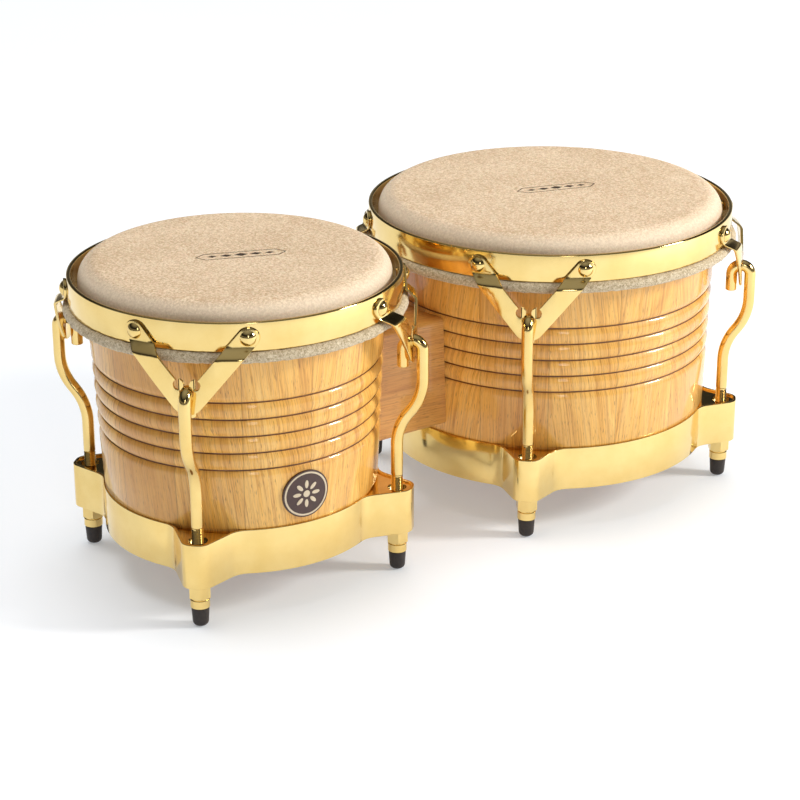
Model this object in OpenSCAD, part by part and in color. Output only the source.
// Bongo drums: two tapered wooden drums of unlike width, bolted to a wooden block between them.
// Each hide head is held by a ring and pulled down over the shell by four hooked rods.
// The rods pass through the lugs of the metal ring under the shell, and a long nut draws each one down.

/* [Layout] */
// Air between the two heads' rolled edges
drum_gap = 17.1; // [8:0.1:60]
// Turn of the small drum's four lugs about its own axis, in degrees
small_lug_turn = -2.5; // [-10:0.5:10]
// Turn of the large drum's four lugs about its own axis, in degrees
large_lug_turn = 0; // [-10:0.5:10]

/* [Shells] */
// Outer diameter of the small shell at its top edge
small_shell_d = 178; // [140:1:215]
// Outer diameter of the large shell at its top edge
large_shell_d = 213.6; // [170:0.1:260]
// Height of the small shell
small_shell_h = 162; // [135:1:195]
// Height of the large shell
large_shell_h = 160.3; // [135:1:195]
// Radius that the small shell loses for each millimetre of height
small_taper = 0.051; // [0.02:0.001:0.08]
// Radius that the large shell loses for each millimetre of height
large_taper = 0.034; // [0.02:0.001:0.08]
// Thickness of a shell's wall
shell_wall = 10; // [7:0.5:14]
// Radius of the rounded edge that the head bears on, less where the wall is thin
bearing_round = 9; // [4:0.5:12]
// Height of the lowest turned groove above the shell's foot
groove_height = 61.4; // [45:0.1:70]
// Distance between grooves
groove_pitch = 10.45; // [7:0.05:12]
// Width of a groove
groove_w = 2.4; // [1:0.1:4]
// Depth of a groove
groove_depth = 1.3; // [0.5:0.1:2]

/* [Heads] */
// Thickness of the hide
skin_t = 1.2; // [0.8:0.1:2]
// Air between the shell's side and the hide's skirt
skin_air = 1.4; // [0.8:0.1:3]
// Diameter of the steel hoop that the hide is wrapped on
flesh_wire_d = 4.2; // [3:0.1:6]
// Drop from the top of the head to the middle of that hoop
flesh_drop = 28.2; // [24:0.1:36]

/* [Rims] */
// Height of the rim band
rim_h = 17.2; // [12:0.1:24]
// Thickness of the rim band
rim_t = 2.6; // [2:0.1:4]
// Air between the hide's skirt and the rim
rim_air = 3.8; // [3:0.1:6]

/* [Side plates and rivets] */
// Thickness of a side plate
plate_t = 1.8; // [1.2:0.1:2.5]
// Width of a side plate's arm
arm_w = 12; // [9:0.5:14]
// Distance between the two rivets of a side plate, straight across
rivet_span = 64.8; // [50:0.1:74]
// Drop from the rivets to the side plate's lowest point
plate_drop = 43; // [38:0.5:60]
// Height of the metal that is left under the rod's hook
hook_web = 9.6; // [5:0.1:12]
// How far the hanging part of the plate stands out from the rim
plate_out = 6.4; // [5.5:0.1:9]
// Diameter of a rivet's shank
rivet_d = 4.4; // [3:0.1:5]
// Diameter of a rivet's domed head
rivet_head_d = 9.2; // [7:0.1:11]

/* [Tuning rods and nuts] */
// Diameter of a tuning rod
rod_d = 7.2; // [5:0.1:8]
// Radius of the hook's bend, to the middle of the rod
hook_r = 5.8; // [5.5:0.1:8]
// Length of the hook's short leg
hook_leg = 11; // [8:0.5:16]
// Height of the rod's double bend
bend_h = 42; // [24:1:50]
// Height of the double bend's foot above the lug plate
bend_clear = 28; // [14:1:40]
// How far the head can still be pulled down
tighten_travel = 4; // [2:0.5:8]
// Width of a nut across its flats
nut_af = 12; // [10.4:0.1:15]
// Height of the hexagon that shows under the lug
nut_show = 8.7; // [6:0.1:14]
// Height of the plain collar under a nut's hexagon
nut_collar_h = 5.4; // [3:0.1:8]
// Height of the neck between the collar and the hexagon
nut_neck_h = 0.7; // [0.4:0.1:2]
// Height of a rubber foot
foot_h = 11.6; // [8:0.1:16]
// Diameter of a rubber foot at its top
foot_d = 10.4; // [8.6:0.1:13]

/* [Bottom rings] */
// Height of a bottom ring
ring_h = 27.6; // [22:0.1:36]
// Thickness of the ring's wall
ring_wall = 1.9; // [1.5:0.1:3]
// How far the ring's wall stands out from the shell above it
ring_proud = 0.8; // [0.5:0.1:1.5]
// Thickness of the ledge that carries the shell
ledge_t = 3; // [2:0.1:5]
// Distance from the small ring's wall out to the holes in its lugs
small_lug_out = 12.8; // [9:0.1:18]
// Distance from the large ring's wall out to the holes in its lugs
large_lug_out = 11.4; // [9:0.1:18]
// How much further a lug reaches past its hole than it does to the sides
lug_nose = 0.6; // [0:0.1:4]
// Radius of a lug's corners
lug_corner = 7.5; // [4:0.1:8]
// How far a lug's sides lean out towards the ring, in degrees
lug_lean = 28; // [10:1:35]
// Radius of the hollow blend between a lug and the ring
lug_blend = 14; // [5:0.5:20]
// Thickness of the plate in a lug
lug_plate_t = 3; // [2:0.1:5]
// Depth of that plate below the ring's upper edge
lug_recess = 1.2; // [0.5:0.1:3]
// Air round the rod in the hole of a lug's plate
lug_hole_air = 2.05; // [0.5:0.05:2.4]
// Thickness of the washer under a lug's plate
lug_washer_t = 1.4; // [1:0.1:2]

/* [Centre block] */
// Width of the block, front to back
block_w = 46; // [36:1:60]
// Height of the block
block_h = 71; // [56:1:76]
// Height of the block's lower face above the bottom rings
block_gap = 6; // [2:0.5:16]
// Radius of the block's long top and bottom edges
block_round = 3; // [1:0.5:8]
// Diameter of the bolts that hold the drums to the block
bolt_d = 8; // [5:0.5:8]
// Distance between a drum's two bolts
bolt_pitch = 32; // [24:1:34]
// Depth that a bolt and its insert reach into the block
insert_l = 18; // [12:0.5:20]
// Diameter of a threaded insert
insert_d = 12; // [11:0.5:14]
// Diameter of the washer under a bolt's head
bolt_washer_d = 22; // [18:1:24]

/* [Badge] */
// Diameter of the round badge on the small drum
badge_d = 29.2; // [20:0.1:34]
// Thickness of the badge
badge_t = 1.6; // [1:0.1:3]
// Height of the badge's lower edge above the bottom ring
badge_gap = 3.8; // [1:0.1:8]
// Direction of the badge from the small drum's axis, in degrees
badge_turn = -96; // [-110:1:-80]

/* [Fits] */
// Radial clearance between a rod's thread and its nut
thread_fit = 0.06; // [0.02:0.01:0.1]
// Clearance between pieces that are fixed together
fixed_fit = 0.05; // [0.02:0.01:0.1]
// Clearance between pieces that move past each other
move_gap = 0.4; // [0.3:0.05:1]
// Clearance between a nut's top face and its washer
nut_gap = 0.2; // [0.1:0.05:0.5]

/* [Hidden] */
$fn = 96;
SMALL = 0;
LARGE = 1;
LUGS = [1, 2, 3, 4];
GROOVES = 5;
over = 1;                 // how far a cut runs past the face it opens
arc_steps = 8;            // straight steps in a turned edge's quarter round
seam = 0.06;              // how far one round piece bites into the next where they would only touch
edge_land = 0.6;          // flat left inside the shell's rounded edge
edge_round = min(bearing_round, shell_wall - edge_land);
rod_r = rod_d / 2;
hex_r = nut_af / 2 / cos(30);
nut_step = 0.3;           // how far a nut's collar lies inside its flats
nut_neck = 0.5;           // how far the neck lies inside the collar
rod_room = 2.8;           // air between a rod's end and the foot's plug when fully tightened
foot_taper = 0.5;         // radius that a foot loses towards the floor
foot_round = 2.9;         // radius of a foot's lower edge

function pick(k, small, large) = k == SMALL ? small : large;
function arc(centre, r, from, to) =
    [for (i = [0 : arc_steps]) centre + r * [cos(from + (to - from) * i / arc_steps),
                                             sin(from + (to - from) * i / arc_steps)]];

// Heights, from the floor up
nut_hex_foot = foot_h + nut_collar_h + nut_neck_h;
ring_lift = nut_hex_foot + nut_show;
ring_top = ring_lift + ring_h;
shell_foot = ring_lift + ledge_t;
lug_plate_top = ring_top - lug_recess;
lug_plate_foot = lug_plate_top - lug_plate_t;
nut_top = lug_plate_foot - lug_washer_t - nut_gap;
plug_top = foot_h + nut_collar_h;
rod_end = plug_top + tighten_travel + rod_room;
block_z = ring_top + block_gap;
badge_z = ring_top + badge_gap + badge_d / 2;
function shell_h(k) = pick(k, small_shell_h, large_shell_h);
function shell_top(k) = shell_foot + shell_h(k);
function head_top(k) = shell_top(k) + skin_t;
function flesh_z(k) = head_top(k) - flesh_drop;
roll_r = flesh_wire_d / 2 + skin_t;
function rim_foot(k) = flesh_z(k) + roll_r;
function rivet_z(k) = rim_foot(k) + rim_h / 2;
function seat_z(k) = rivet_z(k) - plate_drop + hook_web;

// Radii, from the shell out
function top_r(k) = pick(k, small_shell_d, large_shell_d) / 2;
function shell_r(k, z) = top_r(k) - pick(k, small_taper, large_taper) * (shell_top(k) - z);
function bore_r(k, z) = shell_r(k, z) - shell_wall;
function band_r(k) = shell_r(k, ring_top) + ring_proud;
function band_bore_r(k) = band_r(k) - ring_wall;
function skirt_r(k) = top_r(k) + skin_air + skin_t;
function rim_bore_r(k) = skirt_r(k) + rim_air;
function rim_r(k) = rim_bore_r(k) + rim_t;
function flesh_r(k) = rim_r(k) - rim_t / 2 + flesh_wire_d / 4;
function collar_r(k) = flesh_r(k) + roll_r;
function plate_r(k) = rim_r(k) + plate_out;
function rod_out_r(k) = plate_r(k) + plate_t / 2 + hook_r;
function lug_r(k) = band_r(k) + pick(k, small_lug_out, large_lug_out);
function rivet_turn(k) = asin(rivet_span / 2 / (rim_r(k) + plate_t));

lug_half = hex_r + move_gap + ring_wall;
lug_reach = lug_half + lug_nose;

// Places in plan: the origin is under the middle of the whole object
drum_spacing = collar_r(SMALL) + drum_gap + collar_r(LARGE);
function drum_x(k) = pick(k, collar_r(SMALL), drum_spacing + collar_r(SMALL))
    - (drum_spacing + collar_r(SMALL) + collar_r(LARGE)) / 2;
function lug_turn(k, i) = -135 + 90 * (i - 1) + pick(k, small_lug_turn, large_lug_turn);
module at_drum(k) translate([drum_x(k), 0, 0]) children();
module at_lug(k, i) at_drum(k) rotate(lug_turn(k, i)) children();

// ---- Shells ----
function groove(k, z) = [
    [shell_r(k, z - groove_w / 2), z - groove_w / 2],
    [shell_r(k, z) - groove_depth, z - groove_w / 8],
    [shell_r(k, z) - groove_depth, z + groove_w / 8],
    [shell_r(k, z + groove_w / 2), z + groove_w / 2]];

function shell_outline(k) =
    let (top = shell_top(k), edge = shell_r(k, top - edge_round), step = ring_top + fixed_fit,
         seat = band_bore_r(k) - fixed_fit)
    concat(
        [[bore_r(k, shell_foot), shell_foot], [seat, shell_foot], [seat, step], [shell_r(k, step), step]],
        [for (i = [0 : GROOVES - 1]) each groove(k, shell_foot + groove_height + i * groove_pitch)],
        arc([edge - edge_round, top - edge_round], edge_round, 0, 90),
        [[bore_r(k, top), top]]);

module shell(k) color("burlywood") difference() {
    at_drum(k) rotate_extrude() polygon(shell_outline(k));
    for (j = [0, 1]) at_bolt(k, j) translate([0, 0, -bolt_reach])
        cylinder(r = bolt_d / 2 + fixed_fit, h = 2 * bolt_reach);
}

// ---- Heads: the hide, its rolled collar and the hoop inside the roll ----
function head_outline(k) =
    let (top = head_top(k), out = skirt_r(k), round = edge_round + skin_air + skin_t)
    concat(
        [[0, top]],
        arc([out - round, top - round], round, 90, 0),
        [[out, flesh_z(k)], [out - skin_t, flesh_z(k)]],
        arc([out - round, top - round], round - skin_t, 0, 90),
        [[0, top - skin_t]]);

module head(k) color("antiquewhite") at_drum(k) rotate_extrude() polygon(head_outline(k));

module head_collar(k) color("wheat") at_drum(k) rotate_extrude() difference() {
    union() {
        translate([flesh_r(k), flesh_z(k)]) circle(r = roll_r);
        translate([skirt_r(k) + move_gap, flesh_z(k) - skin_t])
            square([flesh_r(k) - skirt_r(k) - move_gap, skin_t]);
        translate([skirt_r(k) + move_gap, flesh_z(k) - skin_t]) square([skin_t, rim_h / 2]);
    }
    translate([flesh_r(k), flesh_z(k)]) circle(d = flesh_wire_d + 2 * fixed_fit);
}

module flesh_hoop(k) color("dimgray") at_drum(k) rotate_extrude()
    translate([flesh_r(k), flesh_z(k)]) circle(d = flesh_wire_d);

// ---- Rims, side plates and rivets ----
module rivet_places(k, i) at_lug(k, i) for (side = [-1, 1])
    rotate(side * rivet_turn(k)) translate([0, 0, rivet_z(k)]) rotate([0, 90, 0]) children();

module rivet_holes(k, i) rivet_places(k, i) cylinder(d = rivet_d + 2 * fixed_fit, h = plate_r(k) + plate_t);

module rim(k) color("gold") difference() {
    at_drum(k) rotate_extrude() translate([rim_bore_r(k), rim_foot(k)]) square([rim_t, rim_h]);
    for (i = LUGS) rivet_holes(k, i);
}

// Front view of a side plate: two arms that meet in a round foot, with a notch for the hook
module plate_outline(k) {
    top = rivet_z(k);
    foot = top - plate_drop;
    heel = arm_w * 0.85;
    rise = plate_drop - heel;
    run = rivet_span / 2;
    slope = atan2(rise, run) + asin((heel - arm_w / 2) / norm([rise, run]));
    pocket = rod_r + move_gap + fixed_fit;
    seat = seat_z(k);
    difference() {
        polygon(concat(
            arc([0, foot + heel], heel, -90, slope - 90),
            arc([run, top], arm_w / 2, slope - 90, slope + 90),
            [[0, top - run * tan(slope) + arm_w / 2 / cos(slope)]],
            arc([-run, top], arm_w / 2, 90 - slope, 270 - slope),
            arc([0, foot + heel], heel, 270 - slope, 270)));
        translate([0, seat + pocket]) circle(r = pocket);
        translate([-pocket, seat + pocket]) square(2 * pocket);
        for (side = [-1, 1]) translate([side * pocket * 1.2, seat + 2 * pocket]) circle(r = pocket * 0.72);
    }
}

// Side view of a side plate: flat on the rim, a joggle outwards over the hide, then straight down
function plate_section(k) =
    let (r = rim_r(k) + fixed_fit, top = rivet_z(k) + arm_w, bend = rivet_z(k) - arm_w / 2,
         out = plate_r(k), low = rivet_z(k) - plate_drop - over, lean = plate_t * 0.5)
    [[r, top], [r, bend], [out, bend - plate_out * 0.7], [out, low],
     [out + plate_t, low], [out + plate_t, bend - plate_out * 0.7 + lean], [r + plate_t, bend + lean],
     [r + plate_t, top]];

module side_plate(k, i) color("gold") difference() {
    at_lug(k, i) intersection() {
        rotate_extrude() polygon(plate_section(k));
        rotate([90, 0, 90]) linear_extrude(2 * plate_r(k)) plate_outline(k);
    }
    rivet_holes(k, i);
}

module rivet(k) {
    head_r = rivet_head_d / 2;
    dome_h = head_r * 0.55;
    dome_r = (head_r * head_r + dome_h * dome_h) / (2 * dome_h);
    face = rim_r(k) + plate_t + 3 * fixed_fit;
    tail = rim_bore_r(k) - rivet_d / 4;
    translate([0, 0, tail]) cylinder(d = rivet_d, h = face - tail);
    translate([0, 0, tail]) cylinder(d = rivet_d * 1.6, h = rivet_d / 4 - fixed_fit);
    intersection() {
        translate([0, 0, face + dome_h - dome_r]) sphere(r = dome_r);
        translate([0, 0, face - fixed_fit]) cylinder(r = head_r, h = dome_h + over);
    }
}

module rim_rivets(k) color("goldenrod") for (i = LUGS) rivet_places(k, i) rivet(k);

// ---- Tuning rods, nuts and feet ----
// The rod lies in a plane through the drum's axis: hook, upper stretch, double bend, lower stretch
module tuning_rod(k, i) color("gold") {
    out = rod_out_r(k);
    shift = out - lug_r(k);
    turn = 2 * atan(shift / bend_h);
    curve = bend_h / (2 * sin(turn));
    hook_z = seat_z(k) - sqrt(pow(hook_r - rod_r, 2) - pow(plate_t / 2, 2)) + 2 * fixed_fit;
    bend_foot = lug_plate_top + bend_clear;
    joins = [[out - 2 * hook_r, hook_z], [out, hook_z], [out, bend_foot + bend_h],
             [(out + lug_r(k)) / 2, bend_foot + bend_h / 2], [lug_r(k), bend_foot]];
    at_lug(k, i) {
        for (p = joins) translate([p[0], 0, p[1]]) sphere(d = rod_d + seam);
        translate([out - 2 * hook_r, 0, hook_z - hook_leg]) cylinder(d = rod_d, h = hook_leg);
        translate([out - hook_r, 0, hook_z]) rotate([90, 0, 0]) rotate_extrude(angle = 180)
            translate([hook_r, 0]) circle(d = rod_d);
        translate([out, 0, bend_foot + bend_h]) cylinder(d = rod_d, h = hook_z - bend_foot - bend_h);
        translate([out - curve, 0, bend_foot + bend_h]) rotate([90, 0, 0]) rotate(-turn)
            rotate_extrude(angle = turn) translate([curve, 0]) circle(d = rod_d);
        translate([lug_r(k) + curve, 0, bend_foot]) rotate([90, 0, 0]) rotate(180 - turn)
            rotate_extrude(angle = turn) translate([curve, 0]) circle(d = rod_d);
        translate([lug_r(k), 0, rod_end]) cylinder(d = rod_d, h = bend_foot - rod_end);
    }
}

module tuning_nut(k, i) color("goldenrod") at_lug(k, i) translate([lug_r(k), 0, 0]) difference() {
    union() {
        translate([0, 0, foot_h]) cylinder(r = nut_af / 2 - nut_step, h = nut_collar_h);
        translate([0, 0, foot_h]) cylinder(r = nut_af / 2 - nut_step - nut_neck, h = nut_hex_foot - foot_h + over);
        translate([0, 0, nut_hex_foot]) cylinder(r = hex_r, h = nut_top - nut_hex_foot, $fn = 6);
    }
    translate([0, 0, foot_h - over]) cylinder(r = rod_r + thread_fit, h = nut_top - foot_h + 2 * over);
}

// Rubber foot, plugged into the open lower end of the nut
module foot_tip(k, i) color("black") at_lug(k, i) translate([lug_r(k), 0, 0]) {
    plug_r = rod_r + thread_fit - fixed_fit;
    rotate_extrude() polygon(concat(
        [[0, 0]],
        arc([foot_d / 2 - foot_taper - foot_round, foot_round], foot_round, -90, 0),
        [[foot_d / 2, foot_h - fixed_fit], [plug_r, foot_h - fixed_fit], [plug_r, plug_top], [0, plug_top]]));
}

// ---- Bottom rings ----
// Plan of a lug, drawn smaller by inset for its hollow: a round nose, leaning sides and a hollow blend
module lug_plan(k, inset) {
    corner = lug_corner - inset;
    blend = lug_blend + inset;
    out = [sin(lug_lean), cos(lug_lean)];
    along = [-cos(lug_lean), sin(lug_lean)];
    nose = [lug_r(k) + lug_reach - lug_corner, lug_half - lug_corner];
    start = nose + (corner + blend) * out;
    back = start * along;
    slide = -back - sqrt(back * back - start * start + pow(band_r(k) - inset + blend, 2));
    centre = start + slide * along;
    translate([0, -nose[1]]) square([nose[0] + corner, 2 * nose[1]]);
    for (side = [0, 1]) mirror([0, side]) {
        translate(nose) circle(r = corner);
        difference() {
            polygon([[0, 0], [nose[0], 0], nose, nose + corner * out, centre - blend * out, centre]);
            translate(centre) circle(r = blend + seam);
        }
    }
}

module ring_plan(k, inset) {
    circle(r = band_r(k) - inset);
    for (i = LUGS) rotate(lug_turn(k, i)) lug_plan(k, inset);
}

module lug_hollow(k, h) linear_extrude(h) difference() {
    ring_plan(k, ring_wall);
    circle(r = band_bore_r(k));
}

module bottom_ring(k) color("gold") at_drum(k) difference() {
    translate([0, 0, ring_lift]) linear_extrude(ring_h) ring_plan(k, 0);
    translate([0, 0, ring_lift - over]) cylinder(r = bore_r(k, shell_foot), h = ledge_t + 2 * over);
    translate([0, 0, shell_foot]) cylinder(r = band_bore_r(k), h = ring_h);
    translate([0, 0, ring_lift - over]) lug_hollow(k, lug_plate_foot - ring_lift + over);
    translate([0, 0, lug_plate_top]) lug_hollow(k, lug_recess + over);
    for (i = LUGS) rotate(lug_turn(k, i)) translate([lug_r(k), 0, lug_plate_foot - over])
        cylinder(r = rod_r + lug_hole_air, h = lug_plate_t + 2 * over);
}

module lug_washers(k) color("silver") for (i = LUGS) at_lug(k, i)
    translate([lug_r(k), 0, lug_plate_foot - lug_washer_t]) difference() {
        cylinder(r = lug_half - ring_wall - move_gap, h = lug_washer_t);
        translate([0, 0, -over]) cylinder(r = rod_r + move_gap, h = lug_washer_t + 2 * over);
    }

// ---- Centre block and its fixings ----
bolt_reach = 60;
bolt_head_h = bolt_d * 0.65;
bolt_washer_t = 2;
bolt_head_r = bolt_d * 0.81 / cos(30);
function bolt_z(j) = block_z + block_h / 2 + (j - 0.5) * bolt_pitch;
function face_turn(k) = pick(k, 0, 180);
// Flat place inside the shell where a washer's edge just meets the curved wall
function washer_face(k, j) =
    sqrt(pow(bore_r(k, bolt_z(j) - bolt_washer_d / 2), 2) - pow(bolt_washer_d / 2, 2)) - fixed_fit;
function bolt_tip(k, j) = shell_r(k, bolt_z(j)) + insert_l;
module at_bolt(k, j) at_drum(k) rotate(face_turn(k)) translate([shell_r(k, bolt_z(j)), 0, bolt_z(j)])
    rotate([0, 90, 0]) children();
module from_axis(k, j) at_drum(k) rotate(face_turn(k)) translate([0, 0, bolt_z(j)])
    rotate([0, 90, 0]) children();

module shell_side(k) at_drum(k) translate([0, 0, shell_foot]) cylinder(
    h = shell_h(k), r1 = shell_r(k, shell_foot) + fixed_fit, r2 = top_r(k) + fixed_fit);

module centre_block() color("peru") difference() {
    translate([drum_x(SMALL), 0, 0]) rotate([90, 0, 90]) linear_extrude(drum_spacing) block_outline();
    for (k = [SMALL, LARGE]) {
        shell_side(k);
        for (j = [0, 1]) at_bolt(k, j) cylinder(r = insert_d / 2 + fixed_fit, h = insert_l + over);
    }
}

module block_outline() {
    w = block_w - 2 * block_round;
    h = block_h - 2 * block_round;
    translate([-w / 2, block_z]) square([w, block_h]);
    translate([-block_w / 2, block_z + block_round]) square([block_w, h]);
    for (side = [-1, 1], up = [0, 1])
        translate([side * w / 2, block_z + block_round + up * h]) circle(r = block_round);
}

module block_inserts() color("darkgoldenrod") for (k = [SMALL, LARGE], j = [0, 1])
    at_bolt(k, j) difference() {
        translate([0, 0, over]) cylinder(d = insert_d, h = insert_l - over);
        translate([0, 0, -over]) cylinder(r = bolt_d / 2 + fixed_fit, h = insert_l + 3 * over);
    }

module block_bolts(k) color("silver") for (j = [0, 1]) from_axis(k, j) {
    seat = washer_face(k, j) - bolt_washer_t - fixed_fit;
    translate([0, 0, seat]) cylinder(d = bolt_d, h = bolt_tip(k, j) - seat - over);
    translate([0, 0, seat - bolt_head_h]) cylinder(r = bolt_head_r, h = bolt_head_h, $fn = 6);
}

module block_washers(k) color("gray") for (j = [0, 1]) from_axis(k, j)
    translate([0, 0, washer_face(k, j) - bolt_washer_t]) difference() {
        cylinder(d = bolt_washer_d, h = bolt_washer_t);
        translate([0, 0, -over]) cylinder(r = bolt_d / 2 + move_gap, h = bolt_washer_t + 2 * over);
    }

// ---- Badge: a thin disc bent round the small shell ----
module badge() color("saddlebrown") at_drum(SMALL) intersection() {
    rotate(badge_turn) translate([0, 0, badge_z]) rotate([0, 90, 0]) cylinder(d = badge_d, h = 2 * top_r(SMALL));
    rotate_extrude() {
        low = badge_z - badge_d;
        high = badge_z + badge_d;
        polygon([[shell_r(SMALL, low) + fixed_fit, low], [shell_r(SMALL, low) + badge_t, low],
                 [shell_r(SMALL, high) + badge_t, high], [shell_r(SMALL, high) + fixed_fit, high]]);
    }
}

shell(SMALL);  // small_shell
head(SMALL);  // small_head
head_collar(SMALL);  // small_head_collar
flesh_hoop(SMALL);  // small_flesh_hoop
rim(SMALL);  // small_rim
rim_rivets(SMALL);  // small_rim_rivets
side_plate(SMALL, 1);  // small_side_plate_1
side_plate(SMALL, 2);  // small_side_plate_2
side_plate(SMALL, 3);  // small_side_plate_3
side_plate(SMALL, 4);  // small_side_plate_4
tuning_rod(SMALL, 1);  // small_tuning_rod_1
tuning_rod(SMALL, 2);  // small_tuning_rod_2
tuning_rod(SMALL, 3);  // small_tuning_rod_3
tuning_rod(SMALL, 4);  // small_tuning_rod_4
tuning_nut(SMALL, 1);  // small_tuning_nut_1
tuning_nut(SMALL, 2);  // small_tuning_nut_2
tuning_nut(SMALL, 3);  // small_tuning_nut_3
tuning_nut(SMALL, 4);  // small_tuning_nut_4
foot_tip(SMALL, 1);  // small_foot_tip_1
foot_tip(SMALL, 2);  // small_foot_tip_2
foot_tip(SMALL, 3);  // small_foot_tip_3
foot_tip(SMALL, 4);  // small_foot_tip_4
bottom_ring(SMALL);  // small_bottom_ring
lug_washers(SMALL);  // small_lug_washers
block_bolts(SMALL);  // small_block_bolts
block_washers(SMALL);  // small_block_washers
shell(LARGE);  // large_shell
head(LARGE);  // large_head
head_collar(LARGE);  // large_head_collar
flesh_hoop(LARGE);  // large_flesh_hoop
rim(LARGE);  // large_rim
rim_rivets(LARGE);  // large_rim_rivets
side_plate(LARGE, 1);  // large_side_plate_1
side_plate(LARGE, 2);  // large_side_plate_2
side_plate(LARGE, 3);  // large_side_plate_3
side_plate(LARGE, 4);  // large_side_plate_4
tuning_rod(LARGE, 1);  // large_tuning_rod_1
tuning_rod(LARGE, 2);  // large_tuning_rod_2
tuning_rod(LARGE, 3);  // large_tuning_rod_3
tuning_rod(LARGE, 4);  // large_tuning_rod_4
tuning_nut(LARGE, 1);  // large_tuning_nut_1
tuning_nut(LARGE, 2);  // large_tuning_nut_2
tuning_nut(LARGE, 3);  // large_tuning_nut_3
tuning_nut(LARGE, 4);  // large_tuning_nut_4
foot_tip(LARGE, 1);  // large_foot_tip_1
foot_tip(LARGE, 2);  // large_foot_tip_2
foot_tip(LARGE, 3);  // large_foot_tip_3
foot_tip(LARGE, 4);  // large_foot_tip_4
bottom_ring(LARGE);  // large_bottom_ring
lug_washers(LARGE);  // large_lug_washers
block_bolts(LARGE);  // large_block_bolts
block_washers(LARGE);  // large_block_washers
centre_block();
block_inserts();
badge();
